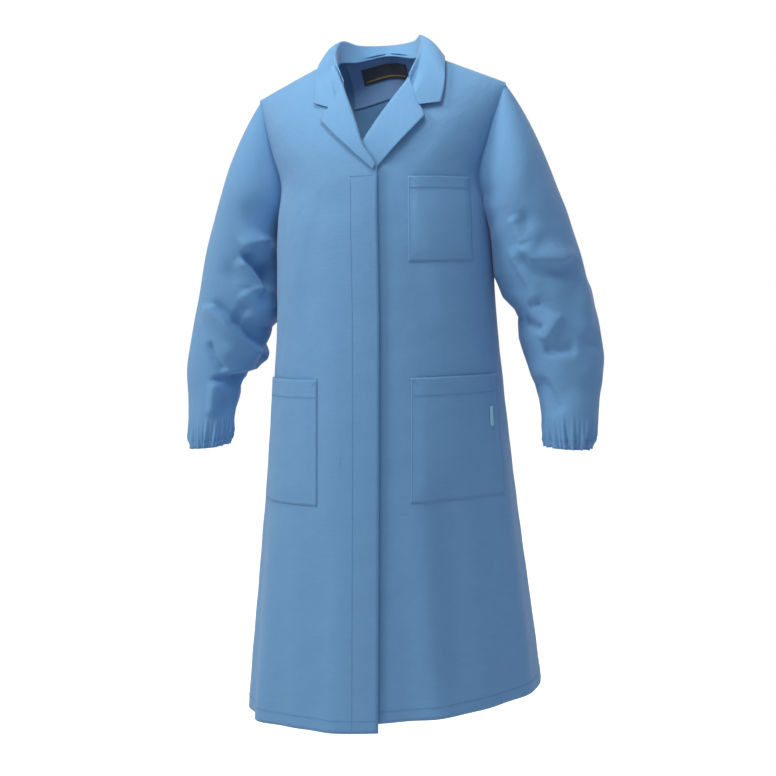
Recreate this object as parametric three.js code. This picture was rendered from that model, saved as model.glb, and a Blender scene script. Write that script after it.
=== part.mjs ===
// A woman's knee-length laboratory coat, shaped as it hangs on a wearer.
// Millimetres, +Z up. The front faces -Y and the wearer's left side is +X.
// The origin lies midway between the two ends of the shoulder line, inside the neck.
import * as THREE from 'three';
import { mergeVertices } from 'three/addons/utils/BufferGeometryUtils.js';

// ---- Cloth and clearances ----
const cloth = 1; // one sewn layer, with its turnings
const layerGap = 1.0; // between two layers that lie on each other
const seamGap = 0.9; // between two pieces that meet edge to edge

// ---- Body of the coat: drops are measured down from the origin ----
const coatLength = 1010;
const hemHalfWidth = 240;
const hemHalfDepth = 186;
const waistDrop = 410;
const waistHalfWidth = 177;
const waistFront = 140;
const waistBack = 132;
const underarmDrop = 250;
const underarmHalfWidth = 171;
const bustFront = 134;
const bladeBack = 114;
const chestDrop = 190;
const chestHalfWidth = 163;
const upperChestDrop = 137;
const upperChestHalfWidth = 179;
const shoulderTipDrop = 50;
const shoulderHalfWidth = 200;
const neckHalfWidth = 72;
const neckPointHeight = 5;
const napeHeight = 20;
const neckHollow = 1.4; // how fast the back neckline falls away from the nape
const shoulderRound = 50; // how softly the front turns over the shoulder
const openingDrop = 330; // the front hangs free below this height

// ---- Front edge, lapel and collar ----
const overlap = 27; // each front passes the centre by this much
const overStep = 7; // the outer front lies this far over the inner one
const breakDrop = 183; // where the lapel starts to roll
const rollTopX = 54;
const rollTopDrop = 30;
const lapelTipX = 92;
const lapelTipDrop = 98;
const lapelLift = 5;
const standTop = 40; // height of the collar's fold line
const standLean = 9;
const collarLift = 6;
const flyStripWidth = 38;
const facingWidth = 52;
const facingTopDrop = 5;
const facingHeight = 63;
const labelWidth = 74;
const labelHeight = 22;
const labelDrop = 9;
const studRadius = 6;
const studCount = 5;
const firstStudDrop = 215;
const studSpacing = 150;

// ---- Pockets ----
const chestPocketWidth = 104;
const chestPocketHeight = 126;
const chestPocketDrop = 197;
const chestPocketInset = 70; // from the centre line to the nearer edge
const hipPocketWidth = 160;
const hipPocketHeight = 187;
const hipPocketDrop = 496;
const hipPocketInset = 72;
const pocketFullness = 3.6;

// ---- Sleeve ----
const elbowStation = 4.5;
const cuffStation = 8.2;
// Each station: how far its outer edge lies out from and below the shoulder tip, how far its
// inner edge lies out from and below the underarm, its middle towards the back, its half depth.
const sleeveStations = [
  [2, 0, 2, 0, 4, 62],
  [37, 62, 7, 14, 5, 70],
  [70, 150, 10, 38, 7, 72],
  [97, 225, 12, 78, 10, 70],
  [118, 306, 17, 130, 13, 67],
  [131, 370, 27, 175, 13, 65],
  [141, 430, 51, 230, 5, 60],
  [137, 480, 72, 280, -9, 50],
  [137, 540, 79, 338, -28, 42],
  [132, 562, 85, 357, -35, 37],
];

const sleeveFacets = 24;

const degrees = Math.PI / 180;
const quarterTurn = Math.PI / 2;
const fabric = { color: 0x6fa3d4, roughness: 0.85, metalness: 0 };
const lining = { color: 0x5f93c6, roughness: 0.88, metalness: 0 };
const steel = { color: 0xb9bec4, roughness: 0.35, metalness: 1 };
const elastic = { color: 0xe8e8e4, roughness: 0.8, metalness: 0 };
const labelTape = { color: 0x3a3d42, roughness: 0.7, metalness: 0 };

const coat = new THREE.Group();
const { lerp, smoothstep, clamp } = THREE.MathUtils;

// ---- Tools for bending closed blanks into cloth ----
function interpolant(rows) {
  const keys = rows.map((row) => row[0]);
  const values = rows.flatMap((row) => row.slice(1));
  return new THREE.CubicInterpolant(keys, values, rows[0].length - 1);
}

function signedVolume(geometry) {
  const position = geometry.attributes.position;
  const corners = [new THREE.Vector3(), new THREE.Vector3(), new THREE.Vector3()];
  let sum = 0;
  for (let i = 0; i < geometry.index.count; i += 3) {
    corners.forEach((corner, k) => corner.fromBufferAttribute(position, geometry.index.getX(i + k)));
    sum += corners[0].dot(corners[1].clone().cross(corners[2])) / 6;
  }
  return sum;
}

// Moves every vertex of a closed blank to its place, and keeps the faces pointing out.
function bend(name, blank, place, look) {
  blank.deleteAttribute('normal');
  blank.deleteAttribute('uv');
  const geometry = mergeVertices(blank, 1e-4);
  const position = geometry.attributes.position;
  const blankPoint = new THREE.Vector3();
  for (let i = 0; i < position.count; i += 1) {
    const point = place(blankPoint.fromBufferAttribute(position, i));
    position.setXYZ(i, point.x, point.y, point.z);
  }
  if (signedVolume(geometry) < 0) {
    const index = Array.from(geometry.index.array);
    for (let i = 0; i < index.length; i += 3) {
      [index[i], index[i + 1]] = [index[i + 1], index[i]];
    }
    geometry.setIndex(index);
  }
  geometry.computeVertexNormals();
  const mesh = new THREE.Mesh(geometry, new THREE.MeshStandardMaterial(look));
  mesh.name = name;
  coat.add(mesh);
  return mesh;
}

// A sheet: surface(u, v) gives a point, and the sheet fills low..high along the normal.
function sheet(name, columns, rows, surface, low, high, look = fabric) {
  const blank = new THREE.BoxGeometry(1, 1, 1, columns, rows, 1);
  bend(name, blank, (p) => {
    const lift = p.z > 0 ? high : low;
    return raise(surface, p.x + 0.5, p.y + 0.5, lift);
  }, look);
}

// A tube: surface(turn, along) gives a point, with turn 0..1 round the tube.
function tube(name, around, rows, surface, low, high, look = fabric) {
  const profile = [];
  for (let i = 0; i <= rows; i += 1) profile.push(new THREE.Vector2(2, i / rows));
  for (let i = rows; i >= 0; i -= 1) profile.push(new THREE.Vector2(1, i / rows));
  profile.push(profile[0].clone());
  const blank = new THREE.LatheGeometry(profile, around);
  bend(name, blank, (p) => {
    const turn = Math.atan2(p.x, p.z) / (2 * Math.PI);
    const lift = Math.hypot(p.x, p.z) > 1.5 ? high : low;
    return raise(surface, turn, p.y, lift);
  }, look);
}

// A point of a surface, lifted along the normal, which is found by small steps.
function raise(surface, u, v, lift) {
  const step = 1e-3;
  const back = v > 0.5 ? -step : step;
  const here = surface(u, v);
  const across = surface(u + step, v).sub(surface(u - step, v));
  const along = surface(u, v + back).sub(here).multiplyScalar(back > 0 ? 1 : -1);
  const normal = across.cross(along).normalize();
  return here.addScaledVector(normal, lift);
}

// ---- The body surface ----
// Height, half width, front depth and back depth.
const bodySize = interpolant([
  [-coatLength, hemHalfWidth, hemHalfDepth, hemHalfDepth],
  [-waistDrop, waistHalfWidth, waistFront, waistBack],
  [-underarmDrop, underarmHalfWidth, bustFront, bladeBack],
  [-chestDrop, chestHalfWidth, bustFront - 5, bladeBack - 6],
  [-upperChestDrop, upperChestHalfWidth, bustFront - 17, bladeBack - 10],
  [-shoulderTipDrop, shoulderHalfWidth + 3, bustFront - 56, bladeBack - 18],
  [standTop, shoulderHalfWidth + 15, bustFront - 89, bladeBack - 6],
]);
const shoulderSlope = (neckPointHeight + shoulderTipDrop) / (shoulderHalfWidth - neckHalfWidth);

// Height of the shoulder line over a distance from the middle.
function ridge(x) {
  return neckPointHeight - shoulderSlope * (Math.abs(x) - neckHalfWidth);
}

// Height of the back's upper edge: the neckline, then the shoulder.
function backTop(x) {
  const share = Math.min(Math.abs(x) / neckHalfWidth, 1);
  const drop = 1 - Math.pow(1 - share, neckHollow);
  return Math.min(ridge(x), lerp(napeHeight, neckPointHeight, drop));
}

// Angle 0 is the centre front, a quarter turn the wearer's left side.
function bodyPoint(angle, z) {
  const [halfWidth, front, back] = bodySize.evaluate(z);
  const depth = Math.cos(angle) > 0 ? front : back;
  const x = halfWidth * Math.sin(angle);
  const below = Math.max(ridge(x) - z, 0);
  const y = -depth * Math.cos(angle) * Math.sqrt(Math.tanh(below / shoulderRound));
  return new THREE.Vector3(x, y, z);
}

function halfWidthAt(z) {
  return bodySize.evaluate(z)[0];
}

function frontAngle(x, z) {
  return Math.asin(clamp(x / halfWidthAt(z), -1, 1));
}

// ---- Fronts and back, from the side or armhole to the middle ----
// How far round the armhole runs at a height, in degrees from the middle.
const armholeAngle = interpolant([
  [-underarmDrop, 90],
  [-underarmDrop + 12, 84],
  [-underarmDrop + 46, 79],
  [-upperChestDrop, 78],
  [-shoulderTipDrop, 80],
]);

function outerAngle(z) {
  if (z <= -underarmDrop) return quarterTurn;
  return armholeAngle.evaluate(z)[0] * degrees;
}

// Distance of the front's inner edge from the middle: past it, then along the roll.
function innerX(z) {
  if (z <= -breakDrop) return -overlap;
  const rise = (z + breakDrop) / (breakDrop - rollTopDrop);
  return Math.min(lerp(-overlap, rollTopX, rise), neckHalfWidth - 4);
}

// One row of a panel that reaches the shoulder: t is 0 at the underarm and 1 on top.
function upperRow(surfaceTop, innerTop, side, u, t, middleX) {
  const fall = Math.pow(1 - t, 1.6);
  const innerZ = lerp(innerTop, -underarmDrop, fall);
  const outerZ = lerp(-shoulderTipDrop, -underarmDrop, fall);
  const outer = outerAngle(outerZ) - (seamGap / 2) / halfWidthAt(outerZ);
  const inner = frontAngle(middleX(innerZ), innerZ);
  const angle = lerp(inner, outer, u);
  const level = lerp(innerZ, outerZ, u);
  const innerFall = surfaceTop(middleX(innerZ)) - innerZ;
  const outerFall = surfaceTop(halfWidthAt(outerZ) * Math.sin(outer)) - outerZ;
  let z = level;
  for (let pass = 0; pass < 3; pass += 1) {
    const x = halfWidthAt(z) * Math.sin(angle);
    z = lerp(level, surfaceTop(x) - lerp(innerFall, outerFall, u), t);
  }
  return { angle: side * angle, z: Math.min(z, ridge(halfWidthAt(z) * Math.sin(angle)) - 0.05) };
}

// Extra height of the outer front over the inner one, fading round the body.
function overLap(side, x) {
  if (side > 0) return 0;
  return overStep * (1 - smoothstep(Math.abs(x), overlap + 10, overlap + 75));
}

function pushed(point, angle, distance) {
  const outward = new THREE.Vector3(Math.sin(angle), -Math.cos(angle), 0);
  return point.addScaledVector(outward, distance);
}

function frontChest(side) {
  const lowShare = 0.28;
  return (u, v) => {
    const start = -openingDrop + seamGap / 2;
    if (v <= lowShare) {
      const z = lerp(start, -underarmDrop, v / lowShare);
      return frontLower(side, u, z);
    }
    const t = clamp((v - lowShare) / (1 - lowShare), 0, 1);
    const row = upperRow(ridge, neckPointHeight + 1.5, side, u, t, innerX);
    const point = bodyPoint(row.angle, row.z);
    return pushed(point, row.angle, overLap(side, point.x));
  };
}

function frontLower(side, u, z) {
  const outer = quarterTurn - (seamGap / 2) / halfWidthAt(z);
  const angle = side * lerp(frontAngle(-overlap, z), outer, u);
  const point = bodyPoint(angle, z);
  return pushed(point, angle, overLap(side, point.x));
}

function frontSkirt(side) {
  return (u, v) => frontLower(side, u, lerp(-coatLength, -openingDrop - seamGap / 2, v));
}

function backPanel(side) {
  const lowShare = 0.3;
  return (u, v) => {
    if (v <= lowShare) {
      const z = lerp(-coatLength, -underarmDrop, v / lowShare);
      const gap = (seamGap / 2) / halfWidthAt(z);
      return bodyPoint(side * (Math.PI - lerp(gap, quarterTurn - gap, u)), z);
    }
    const t = clamp((v - lowShare) / (1 - lowShare), 0, 1);
    const row = upperRow(backTop, napeHeight, 1, u, t, () => seamGap / 2);
    return bodyPoint(side * (Math.PI - row.angle), row.z);
  };
}

const half = cloth / 2;
for (const [word, side] of [['right', -1], ['left', 1]]) {
  sheet(`${word}_front_chest`, 11, 13, frontChest(side), -half, half);
  sheet(`${word}_front_skirt`, 10, 10, frontSkirt(side), -half, half);
  sheet(`${word}_back_panel`, 9, 17, backPanel(side), -half, half);
}

// ---- A patch on the body: arc lengths from an edge at nearX, and heights ----
function bodyPatch(side, nearX, nearArc, farArc, bottom, top, lift) {
  return (u, v) => {
    const z = lerp(bottom, top, v);
    const [halfWidth, front] = bodySize.evaluate(z);
    const near = Math.asin(nearX / halfWidth);
    const radius = Math.hypot(halfWidth, front) / Math.SQRT2;
    const angle = side * (near + lerp(nearArc, farArc, u) / radius);
    const point = bodyPoint(angle, z);
    return pushed(point, angle, overLap(side, point.x) + lift(u, v));
  };
}

// Cloth that is sewn down at both sides and the bottom and stands off between.
function pocketLift(u, v) {
  const edge = Math.min(u, 1 - u) * 9;
  const seat = cloth + layerGap;
  return seat + pocketFullness * Math.min(edge, v * 9, 1);
}

function pocket(name, side, inset, width, height, drop) {
  const surface = bodyPatch(side, inset, 0, width, -drop - height, -drop, pocketLift);
  sheet(name, 9, 9, surface, -half, half);
}

pocket('chest_pocket', 1, chestPocketInset, chestPocketWidth, chestPocketHeight, chestPocketDrop);
pocket('left_hip_pocket', 1, hipPocketInset, hipPocketWidth, hipPocketHeight, hipPocketDrop);
pocket('right_hip_pocket', -1, hipPocketInset, hipPocketWidth, hipPocketHeight, hipPocketDrop);

const tagWidth = 7;
const tagHeight = 30;
const tagDrop = hipPocketDrop + 50;
const tagArc = hipPocketWidth - tagWidth - 22;
const tagSeat = 2 * cloth + layerGap + 0.6 + pocketFullness;
sheet(
  'pocket_tag', 1, 2,
  bodyPatch(1, hipPocketInset, tagArc, tagArc + tagWidth, -tagDrop - tagHeight, -tagDrop, () => tagSeat),
  -half, half, { color: 0x9fdcee, roughness: 0.6, metalness: 0 },
);

// ---- Layers under the fly: facing, posts, sockets and the strip that holds them ----
function strip(name, x0, x1, top, bottom, rows, offset, look) {
  const surface = (u, v) => {
    const z = lerp(bottom, top, v);
    const angle = frontAngle(lerp(x0, x1, u), z);
    return pushed(bodyPoint(angle, z), angle, offset);
  };
  sheet(name, 3, rows, surface, -half, half, look);
}

const stripOffset = overStep - cloth - layerGap - 0.3;
const facingOffset = -(cloth + layerGap);
const flyTop = -breakDrop - 14;
const turnUp = 14;
const flyBreaks = [
  ['upper', flyTop, -openingDrop + seamGap / 2, 4],
  ['lower', -openingDrop - seamGap / 2, -coatLength + turnUp, 10],
];
const stripEdge = overlap - 3;
const facingEdge = facingWidth - overlap;
for (const [word, ...run] of flyBreaks) {
  strip(`fly_strip_${word}`, stripEdge - flyStripWidth, stripEdge, ...run, stripOffset, fabric);
  strip(`left_facing_${word}`, -overlap, facingEdge, ...run, facingOffset, lining);
}

function disc(name, z, inner, outer, look) {
  const blank = new THREE.CylinderGeometry(studRadius, studRadius, 1, 12);
  bend(name, blank, (p) => {
    const offset = p.y > 0 ? outer : inner;
    const angle = frontAngle(p.x, z + p.z);
    return pushed(bodyPoint(angle, z + p.z), angle, offset);
  }, look);
}

const postInner = half + 0.3;
const socketOuter = stripOffset - half - 0.5;
const studMiddle = (postInner + socketOuter) / 2;
for (let i = 0; i < studCount; i += 1) {
  const z = -firstStudDrop - i * studSpacing;
  disc(`stud_post_${i + 1}`, z, postInner, studMiddle - 0.2, steel);
  disc(`stud_socket_${i + 1}`, z, studMiddle + 0.2, socketOuter, steel);
}

// ---- Lapels ----
// A point over the body at a distance x from the middle, lifted along the normal.
function onBody(x, z, lift, isBack = false) {
  const angle = isBack ? Math.PI - frontAngle(x, z) : frontAngle(x, z);
  const step = 0.01;
  const here = bodyPoint(angle, z);
  const across = bodyPoint(angle + step, z).sub(bodyPoint(angle - step, z));
  const along = here.clone().sub(bodyPoint(angle, z - 1));
  return here.addScaledVector(across.cross(along).normalize(), lift);
}

// The lapel of the outer front ends at its break, the other where it goes under that front.
function lapel(side, rollEnd, outerEnd) {
  return (u, v) => {
    const rollX = lerp(rollTopX - 2, rollEnd[0], v);
    const rollZ = lerp(-rollTopDrop - 4, rollEnd[1], v);
    const outerX = lerp(lapelTipX, outerEnd[0], v);
    const outerZ = lerp(-lapelTipDrop, outerEnd[1], v);
    const x = lerp(rollX, outerX, u);
    const z = lerp(rollZ, outerZ, u);
    const angle = frontAngle(side * x, z);
    const point = bodyPoint(angle, z);
    const seat = lerp(cloth + 0.7, lapelLift, smoothstep(u, 0, 0.4));
    return pushed(point, angle, overLap(side, point.x) + seat);
  };
}
const breakHeight = -breakDrop;
const outerEnds = [[-overlap + 3, breakHeight + 2], [-overlap + 6, breakHeight - 3]];
const underEnds = [[overlap - 17, breakHeight + 43], [overlap + 4, breakHeight + 2]];
sheet('right_lapel', 5, 8, lapel(-1, ...outerEnds), -half, half);
sheet('left_lapel', 5, 8, lapel(1, ...underEnds), -half, half);

// ---- Collar: the stand rises to the fold line and the fall comes down outside ----
function mirrored(points) {
  const other = points.slice(1).reverse().map((p) => new THREE.Vector3(-p.x, p.y, p.z));
  return new THREE.CatmullRomCurve3([...other, ...points]);
}

function backNeck(x, drop, lift) {
  return onBody(x, backTop(x) - drop, lift, true);
}

const neckRise = cloth + 0.2;
function onNeckline(x, back, up) {
  const point = backNeck(x, 0, 0);
  return new THREE.Vector3(point.x, point.y + back, point.z + up);
}
const nearNape = neckHalfWidth * 0.62;
const foldHeight = standTop - napeHeight;
const seam = mirrored([
  onNeckline(0, 0, neckRise),
  onNeckline(nearNape, 0, neckRise),
  new THREE.Vector3(neckHalfWidth - 4, 4, neckPointHeight + 4),
  new THREE.Vector3(neckHalfWidth - 13, -32, -14),
  new THREE.Vector3(rollTopX - 5, -58, -rollTopDrop + 3),
]);
const fold = mirrored([
  onNeckline(0, standLean, foldHeight),
  onNeckline(nearNape, standLean, foldHeight + 9),
  new THREE.Vector3(neckHalfWidth - 8, 12, standTop),
  new THREE.Vector3(neckHalfWidth - 7, -26, standTop - 30),
  new THREE.Vector3(rollTopX + 1, -66, -rollTopDrop + 4),
]);
const outerEdge = mirrored([
  backNeck(0, 46, collarLift),
  backNeck(50, 36, collarLift),
  backNeck(84, 16, collarLift),
  onBody(100, ridge(100) - 0.5, collarLift),
  onBody(107, ridge(107) - 17, collarLift + 2),
  onBody(108, ridge(108) - 42, collarLift + 2),
  onBody(103, ridge(103) - 68, collarLift + 1),
]);

function collarStand(u, v) {
  return seam.getPoint(clamp(u, 0, 1)).lerp(fold.getPoint(clamp(u, 0, 1)), v);
}

function collarFall(u, v) {
  const along = clamp(u, 0, 1);
  const point = fold.getPoint(along).lerp(outerEdge.getPoint(along), 1 - v);
  point.z += 5 * Math.sin(Math.PI * v);
  return point;
}

function innerClamp(surface) {
  return (u, v) => surface(clamp(u, 0.002, 0.998), clamp(v, 0, 1));
}
const foldGap = 0.25; // on each side of the fold line
sheet('collar_stand', 24, 2, innerClamp(collarStand), foldGap, cloth + foldGap);
sheet('collar_fall', 24, 4, innerClamp(collarFall), -cloth - foldGap, -foldGap);

// ---- Inside the back neck ----
function backInside(halfSpan, topDrop, bottomDrop) {
  return (u, v) => {
    const x = lerp(-halfSpan, halfSpan, u);
    const z = backTop(x) - lerp(bottomDrop, topDrop, v);
    return bodyPoint(Math.PI - frontAngle(x, z), z);
  };
}
const facingSeat = half + layerGap + 0.9;
const facingShape = backInside(neckHalfWidth - 6, facingTopDrop, facingTopDrop + facingHeight);
sheet('back_neck_facing', 12, 7, facingShape, facingSeat, facingSeat + cloth, lining);
const labelSeat = facingSeat + cloth + layerGap;
const labelShape = backInside(labelWidth / 2, labelDrop, labelDrop + labelHeight);
sheet('neck_label', 7, 2, labelShape, labelSeat, labelSeat + cloth, labelTape);

// ---- Sleeves ----
const sleeveSize = interpolant(sleeveStations.map((row, i) => [i, ...row]));

function armholePoint(side, turn) {
  const round = turn * 2 * Math.PI;
  const z = lerp(-shoulderTipDrop - 0.5, -underarmDrop, (1 - Math.cos(round)) / 2);
  const reach = outerAngle(z) + (seamGap / 2) / halfWidthAt(z);
  const angle = Math.sin(round) > 0 ? reach : Math.PI - reach;
  const point = bodyPoint(side * angle, z);
  point.x += side * (cloth / 2 + 1.3);
  return point;
}

function sleevePoint(side, turn, station) {
  const at = clamp(station, 0, sleeveStations.length - 1);
  const [outerOut, outerDown, innerOut, innerDown, middle, depth] = sleeveSize.evaluate(at);
  const [ox, oz] = [shoulderHalfWidth + outerOut, -shoulderTipDrop - outerDown];
  const [ix, iz] = [underarmHalfWidth + innerOut, -underarmDrop - innerDown];
  const round = turn * 2 * Math.PI;
  const c = Math.cos(round);
  const point = new THREE.Vector3(
    side * ((ox + ix) / 2 + ((ox - ix) / 2) * c),
    middle - depth * Math.sin(round),
    (oz + iz) / 2 + ((oz - iz) / 2) * c,
  );
  return armholePoint(side, turn).lerp(point, smoothstep(at, 0, 1.6));
}

function sleevePart(name, side, from, to, rows, low, high, look) {
  const surface = (turn, along) => sleevePoint(side, turn, lerp(from, to, along));
  const outward = side > 0 ? [low, high] : [-high, -low];
  tube(name, sleeveFacets, rows, surface, ...outward, look);
}

const stationGap = 0.015;
const headEnd = 1.3;
const elbowReach = 1.25;
const cuffHem = 0.15; // the elastic stops this far short of the casing's ends
const cuffEnd = sleeveStations.length - 1;
const elasticOuter = -half - 0.5;
const elasticInner = elasticOuter - cloth;
for (const [word, side] of [['right', -1], ['left', 1]]) {
  const upperEnd = elbowStation - elbowReach;
  const lowerStart = elbowStation + elbowReach + 0.05;
  sleevePart(`${word}_sleeve_head`, side, 0, headEnd, 7, -half, half);
  sleevePart(`${word}_sleeve_upper`, side, headEnd + stationGap, upperEnd, 4, -half, half);
  sleevePart(`${word}_sleeve_elbow`, side, upperEnd + stationGap, lowerStart - stationGap, 5, -half, half);
  sleevePart(`${word}_sleeve_forearm`, side, lowerStart, cuffStation - stationGap, 5, -half, half);
  sleevePart(`${word}_cuff_casing`, side, cuffStation, cuffEnd, 2, -half, half);
  const [top, bottom] = [cuffStation + cuffHem, cuffEnd - cuffHem];
  sleevePart(`${word}_cuff_elastic`, side, top, bottom, 1, elasticInner, elasticOuter, elastic);
}

export default coat;
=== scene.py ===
# %% [markdown]
# # A laboratory coat in Blender
# The coat is knee length, in a woven cotton and polyester cloth, and it is shown as if a wearer
# filled it. Every piece of cloth is cut flat on the real coat and only takes its shape when it
# hangs. So each piece here is one flat grid, with its own cut size, that is bent to a surface.
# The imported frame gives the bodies, the joints and the boxes that the pieces have to keep to.

# %% Load the frame
import math

import bmesh
import bpy
import numpy as np
from mathutils import Matrix, Vector


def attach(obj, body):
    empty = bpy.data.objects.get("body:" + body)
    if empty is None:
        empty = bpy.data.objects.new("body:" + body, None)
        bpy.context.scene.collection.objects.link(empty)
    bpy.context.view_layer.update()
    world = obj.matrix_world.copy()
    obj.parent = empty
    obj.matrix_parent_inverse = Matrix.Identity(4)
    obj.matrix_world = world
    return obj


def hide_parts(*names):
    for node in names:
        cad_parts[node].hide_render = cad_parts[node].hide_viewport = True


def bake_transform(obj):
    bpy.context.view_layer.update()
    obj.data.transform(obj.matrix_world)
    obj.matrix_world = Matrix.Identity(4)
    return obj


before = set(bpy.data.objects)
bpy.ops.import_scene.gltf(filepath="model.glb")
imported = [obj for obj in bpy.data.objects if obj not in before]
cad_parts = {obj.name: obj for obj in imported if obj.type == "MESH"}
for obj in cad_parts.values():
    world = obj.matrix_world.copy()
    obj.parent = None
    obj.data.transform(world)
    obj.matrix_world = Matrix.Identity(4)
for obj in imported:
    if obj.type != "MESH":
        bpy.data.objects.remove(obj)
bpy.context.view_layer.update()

MM = 0.001  # the coat's own sizes are in millimetres
SIDES = (("right", -1), ("left", 1))  # the wearer's sides, and the sign of x there

# %% [markdown]
# ## Camera, light and floor
# The camera stands two metres away with a longer lens, so that the coat keeps its proportions.
# One large soft light from the upper left shapes the folds, a fill at the back and a pale room
# lift the shaded side, and a small light reaches inside the collar. The world is white where the
# camera looks at it.

# %% Camera
CAMERA_AZIMUTH = math.radians(15)  # to the wearer's left of straight ahead
CAMERA_DISTANCE = 2.0
CAMERA_HEIGHT = -0.394
AIM_HEIGHT = -0.519
CAMERA_TILT = math.radians(-1.5)
FOCAL_LENGTH = 58.0


def aim(thing, place, target, tilt=0.0):
    """Put a camera or light at place, looking at target."""
    look = (Vector(target) - Vector(place)).to_track_quat("-Z", "Y").to_matrix()
    thing.matrix_world = Matrix.Translation(place) @ (look @ Matrix.Rotation(tilt, 3, "Z")).to_4x4()
    bpy.context.scene.collection.objects.link(thing)


camera = bpy.data.objects.new("camera", bpy.data.cameras.new("camera"))
camera.data.lens = FOCAL_LENGTH
camera.data.sensor_width = 36
camera_place = (
    CAMERA_DISTANCE * math.sin(CAMERA_AZIMUTH),
    -CAMERA_DISTANCE * math.cos(CAMERA_AZIMUTH),
    CAMERA_HEIGHT,
)
aim(camera, camera_place, (0, 0, AIM_HEIGHT), CAMERA_TILT)
bpy.context.scene.camera = camera
bpy.context.scene.view_settings.view_transform = "Standard"
print("camera at", [round(c, 3) for c in camera_place])


# %% Lights
def soft_light(name, place, width, power, tint, target=(0, 0, -0.45)):
    lamp = bpy.data.lights.new(name, "AREA")
    lamp.shape, lamp.size, lamp.energy, lamp.color = "DISK", width, power, tint
    aim(bpy.data.objects.new(name, lamp), place, target)


soft_light("window_light", (-2.3, -1.5, 1.9), 1.0, 60, (1.0, 0.98, 0.87))
soft_light("ceiling_light", (-0.1, -0.9, 2.9), 1.6, 8, (1.0, 0.94, 0.6), target=(0, 0, -0.1))
soft_light("neck_light", (0.03, -0.40, 0.40), 0.25, 2.3, (0.9, 0.92, 0.85), target=(0, 0.09, -0.08))
soft_light("back_fill", (0.8, 3.0, 0.8), 2.6, 18, (1.0, 1.0, 1.0))

# %% [markdown]
# ## Materials
# A material is named for what it is made of. One function turns a hex colour into the linear
# values that the shader wants, and one adds a node with its settings and its links.


# %% Colour and node helpers
def linear(hex_colour):
    """An sRGB hex colour as linear red, green, blue and alpha."""
    parts = [int(hex_colour[i : i + 2], 16) / 255 for i in (1, 3, 5)]
    return [c / 12.92 if c <= 0.04045 else ((c + 0.055) / 1.055) ** 2.4 for c in parts] + [1.0]


def node(tree, kind, inputs=None, **settings):
    """Add a node: settings are its attributes, inputs its sockets' values or links."""
    made = tree.nodes.new(kind)
    for name, value in settings.items():
        setattr(made, name, value)
    for name, value in (inputs or {}).items():
        if isinstance(value, bpy.types.NodeSocket):
            tree.links.new(value, made.inputs[name])
        else:
            made.inputs[name].default_value = value
    return made


def new_material(name):
    material = bpy.data.materials.new(name)
    material.use_nodes = True
    material.node_tree.nodes.clear()
    return material, material.node_tree


def two_tone(tree, share, colour, shade):
    colours = {0: share, 6: linear(colour), 7: linear(shade)}
    return node(tree, "ShaderNodeMix", colours, data_type="RGBA").outputs[2]


def bump(tree, height, strength, distance, **below):
    """A bump on the surface, or on top of the bump given as Normal."""
    inputs = {"Height": height, "Strength": strength, "Distance": distance, **below}
    return node(tree, "ShaderNodeBump", inputs).outputs[0]


def surface_shader(tree, inputs):
    """Add the shader of the surface and the material's output."""
    shader = node(tree, "ShaderNodeBsdfPrincipled", inputs)
    node(tree, "ShaderNodeOutputMaterial", {"Surface": shader.outputs[0]})


def as_object(bm, name, material):
    """Make an object of a bmesh, in one material, and free the bmesh."""
    mesh = bpy.data.meshes.new(name)
    bm.to_mesh(mesh)
    bm.free()
    mesh.materials.append(material)
    made = bpy.data.objects.new(name, mesh)
    bpy.context.scene.collection.objects.link(made)
    return made


# %% World and floor
world = bpy.data.worlds.new("pale_room")
bpy.context.scene.world = world
world.use_nodes = True
world.node_tree.nodes.clear()
rays = node(world.node_tree, "ShaderNodeLightPath")
seen = node(world.node_tree, "ShaderNodeBackground", {"Color": (1, 1, 1, 1), "Strength": 1.0})
room = node(world.node_tree, "ShaderNodeBackground", {"Color": (0.86, 0.87, 1.0, 1), "Strength": 0.44})
both = node(world.node_tree, "ShaderNodeMixShader", {0: rays.outputs["Is Camera Ray"], 1: room.outputs[0],
            2: seen.outputs[0]})
node(world.node_tree, "ShaderNodeOutputWorld", {"Surface": both.outputs[0]})

FLOOR_HEIGHT = -1.42  # the soles of the wearer's shoes
FLOOR_HALF = 12
FLOOR_GLOW = 0.72  # only for the camera, so that the floor's edge doesn't show against the world
floor_material, floor_tree = new_material("painted_floor")
floor_rays = node(floor_tree, "ShaderNodeLightPath").outputs["Is Camera Ray"]
glow = node(floor_tree, "ShaderNodeMath", {0: floor_rays, 1: FLOOR_GLOW}, operation="MULTIPLY").outputs[0]
surface_shader(floor_tree, {"Base Color": linear("#f4f4f2"), "Roughness": 0.9,
               "Emission Color": (1, 1, 1, 1), "Emission Strength": glow})
floor_mesh = bmesh.new()
bmesh.ops.create_grid(floor_mesh, x_segments=2, y_segments=2, size=FLOOR_HALF)
bmesh.ops.translate(floor_mesh, verts=floor_mesh.verts, vec=(0, 0, FLOOR_HEIGHT))
floor = as_object(floor_mesh, "floor", floor_material)
print("floor at", FLOOR_HEIGHT)

# %% [markdown]
# ### Poplin
# The coat is poplin, a plain weave in 65% polyester and 35% cotton. To the eye it is a matt, even
# blue with a little sheen at a grazing angle. Thread by thread it is far too fine to see from two
# metres, so the threads are drawn about four times as coarse as they are. Thicker places in the
# yarn, called slubs, give faint streaks along the weft. Each piece's UV map is its flat cut in
# metres, so that the weave follows the grain of the cloth round every fold.

# %% Poplin material
THREAD_SPACING = 1.3 * MM  # real poplin has about 0.3 mm
SLUB_LENGTH = 28 * MM
CRUMPLE_SIZE = 42 * MM
WAVE_UNIT = 2 * math.pi / 20  # the Wave texture's period at a scale of 1


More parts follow.
